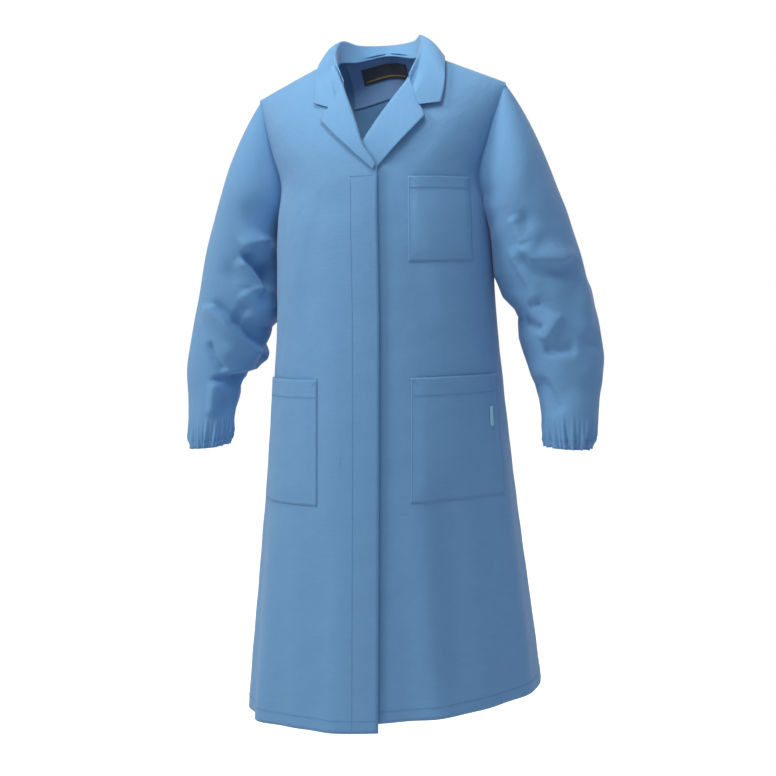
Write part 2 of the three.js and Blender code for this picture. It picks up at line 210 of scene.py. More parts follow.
def poplin(name, colour, shade, sheen=0.22, crumple=0.32):
    """Woven shirt-weight cloth in one colour, with streaks towards a darker shade."""
    material, tree = new_material(name)
    cut = node(tree, "ShaderNodeUVMap", uv_map="Cut").outputs[0]
    weave = {}
    for thread, direction in (("warp", "X"), ("weft", "Y")):
        weave[thread] = node(tree, "ShaderNodeTexWave", {"Vector": cut, "Scale": WAVE_UNIT / THREAD_SPACING,
                             "Distortion": 0.6, "Detail": 1.0}, bands_direction=direction).outputs["Fac"]
    threads = node(tree, "ShaderNodeMath", {0: weave["warp"], 1: weave["weft"]}, operation="ADD").outputs[0]
    streaks = node(tree, "ShaderNodeMapping", {"Vector": cut, "Scale": (1 / SLUB_LENGTH, 9 / SLUB_LENGTH, 1)})
    streaked = {"Vector": streaks.outputs[0], "Scale": 1.0, "Detail": 3.0}
    slubs = node(tree, "ShaderNodeTexNoise", streaked).outputs["Fac"]
    clouds = node(tree, "ShaderNodeTexNoise", {"Vector": cut, "Scale": 1 / CRUMPLE_SIZE, "Detail": 2.5,
                  "Roughness": 0.55, "Distortion": 0.4}).outputs["Fac"]
    mixed = node(tree, "ShaderNodeMath", {0: slubs, 1: 0.5, 2: 0.1}, operation="MULTIPLY_ADD").outputs[0]
    toned = node(tree, "ShaderNodeMath", {0: clouds, 1: 0.25, 2: mixed}, operation="MULTIPLY_ADD").outputs[0]
    dyed = two_tone(tree, toned, colour, shade)
    relief = bump(tree, clouds, crumple, 4 * MM)
    relief = bump(tree, slubs, 0.10, 0.4 * MM, Normal=relief)
    relief = bump(tree, threads, 0.16, 0.25 * MM, Normal=relief)
    rough = node(tree, "ShaderNodeMapRange", {"Value": slubs, "To Min": 0.72, "To Max": 0.88}).outputs[0]
    surface_shader(tree, {"Base Color": dyed, "Roughness": rough, "Normal": relief,
                   "IOR": 1.5, "Specular IOR Level": 0.25, "Sheen Weight": sheen, "Sheen Roughness": 0.45})
    return material


coat_poplin = poplin("poplin_mid_blue", "#75a6d3", "#6496c6")
inner_poplin = poplin("poplin_inner_face", "#8bb3e3", "#7ba4d7", sheen=0.12)
print("cloth:", coat_poplin.name, inner_poplin.name)

# %% [markdown]
# ### Small materials
# Polyester sewing thread is tightly twisted and a little darker than the cloth. The press studs are
# nickel-plated brass. The label and the tag are woven satin tapes, with no lettering. The elastic
# is a braid of rubber cores in white polyester.


# %% Thread, studs, tapes and elastic
GRAIN_DEPTH = 0.2 * MM  # of the speckle on small parts and of the ribs on a tape


def plain_material(name, colour, shade, roughness, metallic=0.0, grain=1.0 * MM):
    """A material with a fine speckle, for thread and metal."""
    material, tree = new_material(name)
    place = node(tree, "ShaderNodeTexCoord").outputs["Object"]
    noise = {"Vector": place, "Scale": 1 / grain, "Detail": 2.0}
    speckle = node(tree, "ShaderNodeTexNoise", noise).outputs["Fac"]
    relief = bump(tree, speckle, 0.3, GRAIN_DEPTH)
    surface_shader(tree, {"Base Color": two_tone(tree, speckle, colour, shade), "Roughness": roughness,
                   "Metallic": metallic, "Normal": relief})
    return material


def satin_tape(name, colour, shade, rib=0.9 * MM):
    """A narrow woven tape, with ribs across it from its satin weave."""
    material, tree = new_material(name)
    cut = node(tree, "ShaderNodeUVMap", uv_map="Cut").outputs[0]
    ribbing = {"Vector": cut, "Scale": WAVE_UNIT / rib}
    ribs = node(tree, "ShaderNodeTexWave", ribbing, bands_direction="Y").outputs["Fac"]
    relief = bump(tree, ribs, 0.3, GRAIN_DEPTH)
    surface_shader(tree, {"Base Color": two_tone(tree, ribs, colour, shade), "Roughness": 0.5, "Normal": relief,
                   "Sheen Weight": 0.3})
    return material


thread = plain_material("polyester_thread", "#6a99c9", "#5b8abb", 0.6)
nickel = plain_material("nickel_plated_brass", "#c9cbcc", "#b4b6b8", 0.28, 1.0, grain=0.5 * MM)
label_satin = satin_tape("satin_charcoal", "#4b525c", "#3b4149")
label_edge = satin_tape("satin_ochre", "#b08d3c", "#98772c")
tag_satin = satin_tape("satin_pale_cyan", "#a5e4ef", "#86cfe0")
elastic_braid = satin_tape("elastic_braid_white", "#e9e9e4", "#c9c9c4", rib=1.6 * MM)
print("small materials:", thread.name, nickel.name, label_satin.name, tag_satin.name, elastic_braid.name)

# %% [markdown]
# ## The coat as a surface
# All the cloth hangs on one imagined surface, given by an angle round the wearer and a height.
# Angle 0 is the centre front and a quarter turn is the wearer's left side. At a few heights the
# coat has a half width, a depth in front and a depth behind, and a smooth curve joins them.


# %% Smooth curves through a few stations
def lerp(a, b, t):
    return a + (b - a) * t


def smooth(value, low, high):
    t = np.clip((value - low) / (high - low), 0, 1)
    return t * t * (3 - 2 * t)


def through(stations):
    """A smooth curve through rows of (position, value, value...), held level past its ends."""
    keys = np.array([row[0] for row in stations], float)
    values = np.array([row[1:] for row in stations], float)
    last = len(keys) - 1

    def at(position):
        t = np.clip(np.asarray(position, float), keys[0], keys[-1])
        high = np.clip(np.searchsorted(keys, t, side="right"), 1, last)
        low = high - 1
        before = np.where(low == 0, high, low - 1)
        after = np.where(high == last, low, np.minimum(high + 1, last))
        span = keys[high] - keys[low]
        before_weight = 0.5 * span / (keys[low] - keys[before])
        after_weight = 0.5 * span / (keys[after] - keys[high])
        p = (t - keys[low]) / span
        cube, square = p**3, p**2
        low_share = (1 + before_weight) * cube + (-1.5 - 2 * before_weight) * square
        low_share = low_share + (before_weight - 0.5) * p + 1
        shares = (
            (before, before_weight * (2 * square - cube - p)),
            (low, low_share),
            (high, (-1 - after_weight) * cube + (1.5 + after_weight) * square + 0.5 * p),
            (after, after_weight * (cube - square)),
        )
        return sum(values[index] * share[..., None] for index, share in shares)

    return at


# %% Sizes of the body
COAT_LENGTH, WAIST, UNDERARM, SHOULDER_TIP = -1010.0, -410.0, -250.0, -50.0
NECK_HALF, SHOULDER_HALF, NECK_POINT, NAPE = 72.0, 200.0, 5.0, 20.0
NAPE_SOFT = 0.06  # rounds the middle of the back neckline
OVERLAP, OVER_STEP, BREAK = 27.0, 7.0, -183.0
HEM_HALF = 240  # half the width at the hem
SHOULDER_ROUND = 50  # how far below the shoulder seam the body comes to its full depth
# Each station: its height, the half width, the depth in front and the depth behind.
body_size = through([
    (COAT_LENGTH, HEM_HALF, 186, 186),
    (WAIST, 177, 140, 132),
    (UNDERARM, 171, 134, 114),
    (-190, 163, 129, 108),
    (-137, 179, 117, 104),
    (SHOULDER_TIP, 203, 78, 96),
    (40, 215, 45, 108),
])
SHOULDER_SLOPE = (NECK_POINT - SHOULDER_TIP) / (SHOULDER_HALF - NECK_HALF)


def ridge(x):
    """Height of the shoulder seam over a distance from the middle."""
    return NECK_POINT - SHOULDER_SLOPE * (np.abs(x) - NECK_HALF)


def back_top(x):
    """Height of the back's upper edge: the neckline, then the shoulder."""
    flat, full = NAPE_SOFT**0.5, (1 + NAPE_SOFT) ** 0.5
    share = (np.sqrt((x / NECK_HALF) ** 2 + NAPE_SOFT) - flat) / (full - flat)
    drop = 1 - (1 - np.minimum(share, 1)) ** 1.4
    return np.minimum(ridge(x), lerp(NAPE, NECK_POINT, drop))


def half_width(z):
    return body_size(z)[..., 0]


def front_angle(x, z):
    return np.arcsin(np.clip(x / half_width(z), -1, 1))


def body_point(angle, z):
    size = body_size(z)
    depth = np.where(np.cos(angle) > 0, size[..., 1], size[..., 2])
    x = size[..., 0] * np.sin(angle)
    below = np.maximum(ridge(x) - z, 0)
    y = -depth * np.cos(angle) * np.sqrt(np.tanh(below / SHOULDER_ROUND))
    return np.stack([x, y, z + 0 * x], -1)


print("waist half width", float(half_width(WAIST)), "mm")

# %% [markdown]
# ### How the cloth hangs
# Below the waist the cloth has more width than it needs, so it falls in soft upright flutes that
# grow towards the hem. A pull runs from the bust towards the waist. The hem isn't level: it
# hangs lower on the wearer's right. A fold is a line with a height and a width on either side.


# %% Folds
def fold(x, z, line, height, left, right):
    """A raised or sunken line. left and right are its widths on either side, going down the line."""
    points = np.array(line, float)
    best = np.full(np.shape(x), 1e9)
    amount = np.zeros(np.shape(x))
    lengths = np.hypot(*(points[1:] - points[:-1]).T)
    walked = 0.0
    for (ax, az), (bx, bz), length in zip(points[:-1], points[1:], lengths):
        ux, uz = (bx - ax) / length, (bz - az) / length
        share = np.clip((x - ax) * ux + (z - az) * uz, 0, length)
        off_x, off_z = x - ax - share * ux, z - az - share * uz
        distance = np.hypot(off_x, off_z)
        is_left = ux * off_z - uz * off_x > 0
        width = np.where(is_left, left, right)
        along = (walked + share) / lengths.sum()
        fade = smooth(along, 0, 0.22) * smooth(1 - along, 0, 0.22)
        value = height * np.exp(-((distance / width) ** 2)) * fade
        nearer = distance < best
        amount = np.where(nearer, value, amount)
        best = np.minimum(best, distance)
        walked += length
    return amount


def dimple(x, z, middle, radius, depth):
    return -depth * np.exp(-((x - middle[0]) ** 2 + (z - middle[1]) ** 2) / radius**2)


def folds_and_dimples(x, z, folds, dimples=()):
    total = 0 * x
    for line, height, left, right in folds:
        total = total + fold(x, z, line, height, left, right)
    for middle, radius, depth in dimples:
        total = total + dimple(x, z, middle, radius, depth)
    return total


RIPPLE_WAVES = 7


def ripples(a, b, seed, size):
    """Small uneven waves, the same on every run: size is their length in millimetres."""
    random = np.random.default_rng(seed)
    total = np.zeros(np.shape(a + b))
    for _ in range(RIPPLE_WAVES):
        turn, stretch = random.uniform(0, np.pi), random.uniform(0.6, 1.6)
        phase = random.uniform(0, 2 * np.pi)
        across = a * np.cos(turn) + b * np.sin(turn)
        total = total + np.sin(across * 2 * np.pi / (size * stretch) + phase)
    return total / RIPPLE_WAVES


FLUTE_START = WAIST - 30
# Each fold: its line, its height, and its widths to the left and right, going down the line.
front_folds = (
    ([(-78, -215), (-98, -285), (-117, -360), (-129, -440)], 3.0, 14, 34),
    ([(84, -215), (100, -290), (116, -370), (126, -450)], 3.0, 34, 16),
    ([(-150, -75), (-112, -150), (-84, -210)], 2.2, 18, 26),
    ([(142, -85), (112, -150), (88, -205)], 2.0, 26, 18),
    ([(128, -600), (134, -800), (140, -1020)], -8.0, 34, 26),
    ([(196, -560), (206, -800), (222, -1020)], 6.0, 22, 22),
    ([(-58, -700), (-60, -1020)], -3.5, 22, 26),
)
# Each dimple: its middle, its radius and its depth.
front_dimples = (((-48, -235), 30, 3.0),)
back_folds = (
    ([(-120, -140), (-70, -300), (-60, -430)], 4.0, 30, 30),
    ([(120, -140), (74, -310), (60, -440)], 4.0, 30, 30),
)


def drape(angle, z):
    """How far the cloth stands out from the plain surface."""
    x = half_width(z) * np.sin(angle)
    is_front = np.cos(angle) > 0
    low = np.clip((FLUTE_START - z) / (FLUTE_START - COAT_LENGTH), 0, 1)
    flutes = 5.5 * np.cos(9 * angle + 0.9) + 3.5 * np.cos(14 * angle + 2.1 + 0.002 * z)
    behind = (7.0 * np.cos(10 * angle + 0.4) + 3.0 * np.cos(17 * angle)) * smooth(-np.cos(angle), 0, 0.7)
    middle = smooth(np.abs(angle), 0.1, 0.5)  # the stitched fly holds the middle flat
    out = low**1.3 * np.where(is_front, flutes * middle * smooth(np.cos(angle), 0, 0.75), behind)
    front = folds_and_dimples(x, z, front_folds, front_dimples) * smooth(np.cos(angle), 0, 0.35)
    back = folds_and_dimples(x, z, back_folds) * smooth(-np.cos(angle), 0, 0.35)
    out = out + np.where(is_front, front, back)
    return out + 0.7 * ripples(x, z, 3, 85) * smooth(ridge(x) - z, 5, 60)


def hem_rise(side, x, z):
    """The hem hangs lower on the wearer's right, and the two fronts don't end level."""
    share = np.clip((WAIST - z) / (WAIST - COAT_LENGTH), 0, 1) ** 1.6
    across = np.clip(x / HEM_HALF, -1, 1)
    level = {-1: -9 + 18 * across, 1: 3 + 19 * across, 0: -3 + 24 * across}[side]
    return share * level


def over_step(side, x):
    """The wearer's right front lies over the left one."""
    if side >= 0:
        return 0 * x
    return OVER_STEP * (1 - smooth(np.abs(x), OVERLAP + 10, OVERLAP + 75))


SKIRT_SWAY = 5.0  # the hem hangs this far towards the wearer's right


def coat_point(side, angle, z, lift=0.0):
    """A point of the hanging coat. side is -1 or 1 for a front, 0 for the back."""
    point = body_point(angle, z)
    x = point[..., 0]
    out = over_step(side, x) + drape(angle, z) * smooth(ridge(x) - z, 0, 30) + lift
    point[..., 0] += out * np.sin(angle)
    point[..., 1] -= out * np.cos(angle)
    point[..., 0] -= SKIRT_SWAY * np.clip((WAIST - z) / (WAIST - COAT_LENGTH), 0, 1)
    point[..., 2] += hem_rise(side, x, z)
    return point


print("hem at the centre front:", [round(float(c)) for c in coat_point(-1, 0.0, COAT_LENGTH)])

# %% [markdown]
# ## From a flat cut to a hung piece
# `bmesh.ops.create_grid` makes the flat piece. Its vertices then move to the surface, and its UV
# map becomes the cut in metres. Solidify gives the cloth its thickness. The same function
# measures the cut and prints its size.


def grid_points(surface, columns, rows):
    u, v = np.meshgrid(np.linspace(0, 1, columns + 1), np.linspace(0, 1, rows + 1))
    return surface(u, v)


def cloth(name, surface, columns, rows, material=None, thickness=0.7, closed=False):
    """One piece of cloth. surface(u, v) is in millimetres, with u and v from 0 to 1."""
    points = grid_points(surface, columns, rows) * MM
    across, down = np.diff(points, axis=1), np.diff(points, axis=0)
    width = np.linalg.norm(across, axis=2).sum(1).max()
    length = np.linalg.norm(down, axis=2).sum(0).max()
    bm = bmesh.new()
    bm.loops.layers.uv.new("Cut")
    bmesh.ops.create_grid(bm, x_segments=columns, y_segments=rows, size=0.5, calc_uvs=True)
    for vertex in bm.verts:
        i = round((vertex.co.x + 0.5) * columns)
        j = round((vertex.co.y + 0.5) * rows)
        vertex.co = points[j, i]
    if closed:
        bmesh.ops.remove_doubles(bm, verts=bm.verts, dist=0.02 * MM)
    bm.normal_update()
    centre = Vector(points.reshape(-1, 3).mean(0)) if closed else Vector((0, 0, 0))
    outward = 0.0
    for face in bm.faces:
        middle = face.calc_center_median()
        outward += face.normal.x * (middle.x - centre.x) + face.normal.y * (middle.y - centre.y)
    if outward < 0:
        bmesh.ops.reverse_faces(bm, faces=bm.faces)
    piece = as_object(bm, name, material or coat_poplin)
    mesh = piece.data
    layer = mesh.uv_layers["Cut"]
    flat = np.zeros(len(layer.data) * 2)
    layer.data.foreach_get("uv", flat)
    layer.data.foreach_set("uv", (flat.reshape(-1, 2) * (width, length)).ravel())
    mesh.polygons.foreach_set("use_smooth", [True] * len(mesh.polygons))
    wall = piece.modifiers.new("cloth thickness", "SOLIDIFY")
    wall.thickness, wall.offset = thickness * MM, 0
    print(f"{name}: cut {width * 1000:.0f} x {length * 1000:.0f} mm, {len(mesh.polygons)} faces")
    return piece


def hang_on_front(piece):
    """Bake the piece's placement into its mesh."""
    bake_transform(piece)


# %% [markdown]
# ## Stitches
# Thread shows as a row of short dashes that sink a little into the cloth. Each dash is one small
# bar, set along the line and square to the cloth. A row belongs to the piece it is
# sewn on, so it moves with it.

# %% Rows of stitches
STITCH, STITCH_GAP, THREAD_WIDTH, THREAD_HEIGHT = 2.9, 0.8, 0.75, 0.5


def between(at, walked, values):
    """The point or normal at a distance along a line."""
    return np.array([np.interp(at, walked, values[:, k]) for k in range(3)])


def along(surface, start, end, steps=240):
    """Points and outward normals on a surface, on a line in its own u and v."""
    t = np.linspace(0, 1, steps + 1)
    u, v = lerp(start[0], end[0], t), lerp(start[1], end[1], t)
    tiny = 1e-4
    points = surface(u, v)
    across = surface(np.clip(u + tiny, 0, 1), v) - surface(np.clip(u - tiny, 0, 1), v)
    up = surface(u, np.clip(v + tiny, 0, 1)) - surface(u, np.clip(v - tiny, 0, 1))
    normals = np.cross(across, up)
    normals /= np.linalg.norm(normals, axis=1)[:, None] + 1e-12
    return points, normals


def stitch_row(name, lines, raise_by=0.45, flip=False):
    """One object with every dash of the given lines, each a (points, normals) pair."""
    bm = bmesh.new()
    count = 0
    for points, normals in lines:
        gaps = np.linalg.norm(np.diff(points, axis=0), axis=1)
        walked = np.concatenate([[0], np.cumsum(gaps)])
        starts = np.arange(1.0, walked[-1] - STITCH, STITCH + STITCH_GAP)
        sign = -1 if flip else 1
        for start in starts:
            ends = [between(at, walked, points) for at in (start, start + STITCH)]
            normal = between(start, walked, normals) * sign
            x_axis = Vector(ends[1] - ends[0]).normalized()
            z_axis = Vector(normal)
            z_axis = (z_axis - x_axis * z_axis.dot(x_axis)).normalized()
            y_axis = z_axis.cross(x_axis)
            turn = Matrix((x_axis, y_axis, z_axis)).transposed().to_4x4()
            middle = Vector((ends[0] + ends[1]) / 2) + z_axis * raise_by
            size = Matrix.Diagonal((STITCH, THREAD_WIDTH, THREAD_HEIGHT, 1))
            place = Matrix.Scale(MM, 4) @ Matrix.Translation(middle) @ turn @ size
            bmesh.ops.create_cube(bm, size=1, matrix=place)
            count += 1
    print(f"{name}: {count} stitches")
    return as_object(bm, name, thread)


# %% [markdown]
# ## Fronts and back
# Each front is one piece from the hem to the shoulder seam, and its inner edge folds out above
# the break to make the lapel. The lower part is a plain band of heights. Above the underarm the
# rows turn, so that they follow the shoulder seam at the top and the armhole at the side.

# %% Front and back panels
armhole_degrees = through([(-250, 90), (-238, 84), (-204, 79), (-137, 78), (-50, 80)])
SEAM_CLOSE = 0.0005  # how near the front and back come at the shoulder
# Heights up each roll line and how far out the line is there.
ROLL_LINES = {
    -1: ((BREAK, -149, -115, -89, -52, -30, 0), (-OVERLAP, -4, 8, 19, 36, 47, 68)),
    1: ((BREAK, -149, -86, -50, -30, 0), (-OVERLAP, -1, 36, 59, 66, 68)),
}


def outer_angle(z):
    return np.where(z <= UNDERARM, math.pi / 2, np.radians(armhole_degrees(z)[..., 0]))


def inner_x(side, z):
    """The front's inner edge: straight below the lapels, then the roll line up to the neck."""
    return np.interp(z, *ROLL_LINES[side])


def upper_row(top, inner_top, u, t, middle_x):
    """Angle and height in a panel's upper part: t is 0 at the underarm and 1 at the shoulder."""
    fall = (1 - t) ** 1.6
    inner_z, outer_z = lerp(inner_top, UNDERARM, fall), lerp(SHOULDER_TIP, UNDERARM, fall)
    outer = outer_angle(outer_z)
    angle = lerp(front_angle(middle_x(inner_z), inner_z), outer, u)
    level = lerp(inner_z, outer_z, u)
    inner_fall = top(middle_x(inner_z)) - inner_z
    outer_fall = top(half_width(outer_z) * np.sin(outer)) - outer_z
    z = level
    for _ in range(3):
        x = half_width(z) * np.sin(angle)
        z = lerp(level, top(x) - lerp(inner_fall, outer_fall, u), t)
    return angle, np.minimum(z, ridge(half_width(z) * np.sin(angle)) - SEAM_CLOSE)


LOW_SHARE = 0.66  # of a panel's rows lie below the underarm
FRONT_NECK = NECK_POINT + 1.5  # the inner top of a front
BACK_MIDDLE = 0.02  # the two backs meet this close to the middle
SEAM_TURNING = 0.11  # radians of the back that reach under the front, as a side seam's turning


def panel_rows(v):
    """The height of a row in the lower part, its share of the upper part, and which part it is in."""
    low_z = lerp(COAT_LENGTH, UNDERARM, np.minimum(v / LOW_SHARE, 1))
    return low_z, np.clip((v - LOW_SHARE) / (1 - LOW_SHARE), 0, 1), v <= LOW_SHARE


def front_panel(side):
    def surface(u, v):
        low_z, t, is_low = panel_rows(v)
        low_angle = lerp(front_angle(-OVERLAP, low_z), math.pi / 2, u)
        high_angle, high_z = upper_row(ridge, FRONT_NECK, u, t, lambda z: inner_x(side, z))
        angle = side * np.where(is_low, low_angle, high_angle)
        lip = 1.5 * smooth(u, 0.95, 1) * smooth(t, 0, 0.15) * smooth(1 - t, 0, 0.08)
        return coat_point(side, angle, np.where(is_low, low_z, high_z), lip)

    return surface


def back_panel(side):
    def surface(u, v):
        low_z, t, is_low = panel_rows(v)
        high_angle, high_z = upper_row(back_top, NAPE, u, t, lambda z: BACK_MIDDLE + 0 * z)
        turned = smooth(u, 0.955, 1) * smooth(1 - v / LOW_SHARE, 0, 0.06)
        angle = np.where(is_low, lerp(0, math.pi / 2, u) + SEAM_TURNING * turned, high_angle)
        return coat_point(0, side * (math.pi - angle), np.where(is_low, low_z, high_z), -2.2 * turned)

    return surface


for word, side in SIDES:
    front = cloth(f"{word}_front", front_panel(side), 64, 190)
    hang_on_front(front)
    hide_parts(f"{word}_front_chest", f"{word}_front_skirt")
    back = cloth(f"{word}_back", back_panel(side), 52, 180)
    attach(back, "torso")
    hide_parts(f"{word}_back_panel")

# %% [markdown]
# ## Inside the front edge
# The outer front carries a narrow strip on its inner side, which hides the press studs, and the
# inner front has a facing. Both are plain strips that follow the fronts at a small distance.


# %% Fly strip, facing and studs
def on_front(side, x, z, lift):
    return coat_point(side, front_angle(x, z), z, lift)


def front_strip(x0, x1, top, bottom, lift):
    return lambda u, v: on_front(1, lerp(x0, x1, u), lerp(bottom, top, v), lift)


STRIP_LIFT, FACING_LIFT, STRIP_TOP, STRIP_END = 4.7, -2.0, BREAK - 14, COAT_LENGTH + 14
for name, x0, x1, lift, side, material in (
    ("fly_strip", -14, 24, STRIP_LIFT, -1, coat_poplin),
    ("left_facing", -27, 25, FACING_LIFT, 1, inner_poplin),
):
    strip = cloth(name, front_strip(x0, x1, STRIP_TOP, STRIP_END, lift), 8, 120, material)
    hang_on_front(strip)
    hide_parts(f"{name}_upper", f"{name}_lower")

STUD_RADIUS, FIRST_STUD, STUD_SPACING, STUD_COUNT = 6.0, -215, -150, 5
for number in range(1, STUD_COUNT + 1):
    z = FIRST_STUD + STUD_SPACING * (number - 1)
    for part, low, high, side in (("post", 0.8, 2.1, 1), ("socket", 2.4, 3.7, -1)):
        bm = bmesh.new()
        radii = {"radius1": STUD_RADIUS, "radius2": STUD_RADIUS * 0.92}
        bmesh.ops.create_cone(bm, cap_ends=True, segments=28, depth=1, **radii)
        rims = [e for e in bm.edges if len(e.link_faces) == 2 and e.calc_face_angle(0) > 1]
        bmesh.ops.bevel(bm, geom=rims, offset=0.25, segments=2, profile=0.5, affect="EDGES", material=-1)
        for vertex in bm.verts:
            lift = lerp(low, high, vertex.co.z + 0.5)
            vertex.co = Vector(on_front(1, np.array(vertex.co.x), np.array(z + vertex.co.y), lift)) * MM
        bmesh.ops.recalc_face_normals(bm, faces=bm.faces)
        stud = as_object(bm, f"stud_{part}_{number}_plated", nickel)
        hang_on_front(stud)
        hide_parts(f"stud_{part}_{number}")
print("studs:", STUD_COUNT, "posts and as many sockets")

# %% [markdown]
# ## Pockets
# A patch pocket is sewn down at its sides and bottom, and stands off a little in between. Its top
# edge is turned in and stitched, which shows as a band. A short slanted bartack holds the corner.

# %% Patch pockets
HEM_STEP = 0.35  # how far a pocket's turned-in band stands out
EDGE_ROWS = 7  # the cloth rises over one seventh of the width and height


def patch(side, near_x, near_arc, far_arc, bottom, top, lift):
    """A patch on a front: arc lengths are measured round the body from its nearer edge."""

    def surface(u, v):
        z = lerp(bottom, top, v)
        size = body_size(z)
        near = np.arcsin(near_x / size[..., 0])
        radius = np.hypot(size[..., 0], size[..., 1]) / math.sqrt(2)
        return coat_point(side, side * (near + lerp(near_arc, far_arc, u) / radius), z, lift(u, v))

    return surface


def pocket_lift(band_share, fullness=1.5):
    def lift(u, v):
        edge = np.minimum(np.minimum(u, 1 - u) * EDGE_ROWS, v * EDGE_ROWS)
        puff = fullness * smooth(edge, 0, 1) + 1.2 * smooth(v, 0.8, 1) * np.sin(np.pi * u)
        return 1.0 + puff + HEM_STEP * smooth(v, band_share - 0.012, band_share)

    return lift


tag_shape = patch(1, 72, 131, 138, -576, -546, lambda u, v: 4.2 + 0 * u)
tag = cloth("pocket_tag_tape", tag_shape, 4, 12, tag_satin, thickness=0.5)
hang_on_front(tag)
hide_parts("pocket_tag")

# Each pocket: its side, how far out it starts, its width and height, its top and its band.
pocket_list = (
    ("chest_pocket", 1, 70, 104, 126, -197, 17),
    ("left_hip_pocket", 1, 72, 160, 187, -496, 27),
    ("right_hip_pocket", -1, 72, 160, 187, -496, 27),
)
for name, side, inset, width, height, top, band in pocket_list:
    share = 1 - band / height
    shape = patch(side, inset, 0, width, top - height, top, pocket_lift(share))
    pocket = cloth(f"{name}_patch", shape, 48, 60, thickness=0.8)
    hang_on_front(pocket)
    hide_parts(name)
    in_u, in_v = 2.0 / width, 2.5 / height
    lines = [
        along(shape, (in_u, 0.01), (in_u, 0.99)),
        along(shape, (1 - in_u, 0.01), (1 - in_u, 0.99)),
        along(shape, (0.01, in_v), (0.99, in_v)),
        along(shape, (0.01, share), (0.99, share)),
        along(shape, (in_u, 0.985), (6 * in_u, 0.93), 40),
        along(shape, (1 - in_u, 0.985), (1 - 6 * in_u, 0.93), 40),
    ]
    row = stitch_row(f"{name}_stitching", lines, flip=side < 0)
    hang_on_front(row)

# %% [markdown]
# ## Lapels
# A lapel is the top of the front turned back along its roll line. The cloth rises over the roll,
# lies down again, and its free edge stands off a little, so that it throws a soft shadow.

# %% Lapels
# Each lapel: its upper edge from the roll line along the gorge seam to the tip, the ends of its
# roll line and outer edge, and how far the tip stands off.
lapel_list = (
    ("right", -1, ((36, 43, 50, 64), (-46, -68, -82, -104)), (-24, -181), (-21, -186), 2.5),
    ("left", 1, ((63, 73, 82, 90), (-42, -60, -85, -106)), (-12, -156), (20, -190), 7.0),
)


GORGE_SHARES = (0, 0.35, 0.62, 1)


def lapel(side, upper, roll_end, outer_end, stand_off):
    def surface(u, v):
        x = lerp(np.interp(u, GORGE_SHARES, upper[0]), lerp(roll_end[0], outer_end[0], u), v)
        z = lerp(np.interp(u, GORGE_SHARES, upper[1]), lerp(roll_end[1], outer_end[1], u), v)
        roll_x, roll_z = lerp(upper[0][0], roll_end[0], v), lerp(upper[1][0], roll_end[1], v)
        x = x + (inner_x(side, roll_z) - 1 - roll_x) * (1 - u) * smooth(1 - v, 0, 0.1)
        swell = 1.5 * v * (1 - v) * np.sin(np.pi * np.clip(u * 1.4, 0, 1))
        roll = 3.0 * np.sqrt(np.clip(u / 0.10, 0, 1)) + swell
        lift = 0.5 + roll + stand_off * u**2 * np.sin(np.pi * np.clip(v + 0.2, 0, 1)) ** 0.7
        return coat_point(side, front_angle(side * x, z), z, lift)

    return surface


for word, side, *outline in lapel_list:
    shape = lapel(side, *outline)
    flap = cloth(f"{word}_lapel_turned", shape, 26, 44, thickness=1.3)
    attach(flap, "torso")
    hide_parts(f"{word}_lapel")
    outer_line = along(shape, (0.93, 0.02), (0.90, 0.93))
    row = stitch_row(f"{word}_lapel_stitching", [outer_line], 0.7, flip=side < 0)
    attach(row, "torso")

# %% [markdown]
# ## Collar
# The collar is one piece, folded. Its stand rises from the neck seam to the fold, and its fall
# comes down outside and ends in two points. Smooth curves give the seam, the fold and the outer
# edge, and the two ends run down the gorge seam to the notch and then out to the point.


# %% Curves for the collar
def smooth_curve(points):
    """A centripetal Catmull-Rom curve: it passes through its points without loops."""
    points = np.array(points, float)
    ends = [2 * points[0] - points[1]], [2 * points[-1] - points[-2]]
    padded = np.concatenate([ends[0], points, ends[1]])

    def at(t):
        place = np.clip(t, 0, 1) * (len(points) - 1)
        index = np.minimum(place.astype(int), len(points) - 2)
        share = (place - index)[..., None]
        p = [padded[index + k] for k in range(4)]
        d = [np.linalg.norm(p[k + 1] - p[k], axis=-1)[..., None] ** 0.5 for k in range(3)]
        start = ((p[1] - p[0]) / d[0] - (p[2] - p[0]) / (d[0] + d[1]) + (p[2] - p[1]) / d[1]) * d[1]
        end = ((p[2] - p[1]) / d[1] - (p[3] - p[1]) / (d[1] + d[2]) + (p[3] - p[2]) / d[2]) * d[1]
        return (
            p[1] + start * share + (3 * (p[2] - p[1]) - 2 * start - end) * share**2
            + (2 * (p[1] - p[2]) + start + end) * share**3
        )

    return at


def ends_apart(points, right, left):
    """A curve round the neck: even at the back, with its own points towards either front."""
    return smooth_curve(right[::-1] + [(-x, y, z) for x, y, z in points[:0:-1]] + points + left)


def on_body(x, z, lift, is_back=False):
    """A point over the body, lifted square to the surface."""
    angle = math.pi - front_angle(x, z) if is_back else front_angle(x, z)
    here = body_point(angle, z)
    across = body_point(angle + 0.01, z) - body_point(angle - 0.01, z)
    up = here - body_point(angle, z - 1)
    normal = np.cross(across, up)
    return tuple(here + normal / np.linalg.norm(normal) * lift)


def over_front(x, drop, lift):
    return on_body(x, ridge(x) - drop, lift)


def back_neck(x, drop, lift):
    return on_body(x, back_top(x) - drop, lift, is_back=True)


STAND_TOP, STAND_LEAN = 34.5, 9.0
NEAR_NAPE = NECK_HALF * 0.62


def on_neckline(x, back, up):
    x_at, y_at, z_at = back_neck(x, 0, 0)
    return (x_at, y_at + back, z_at + up)


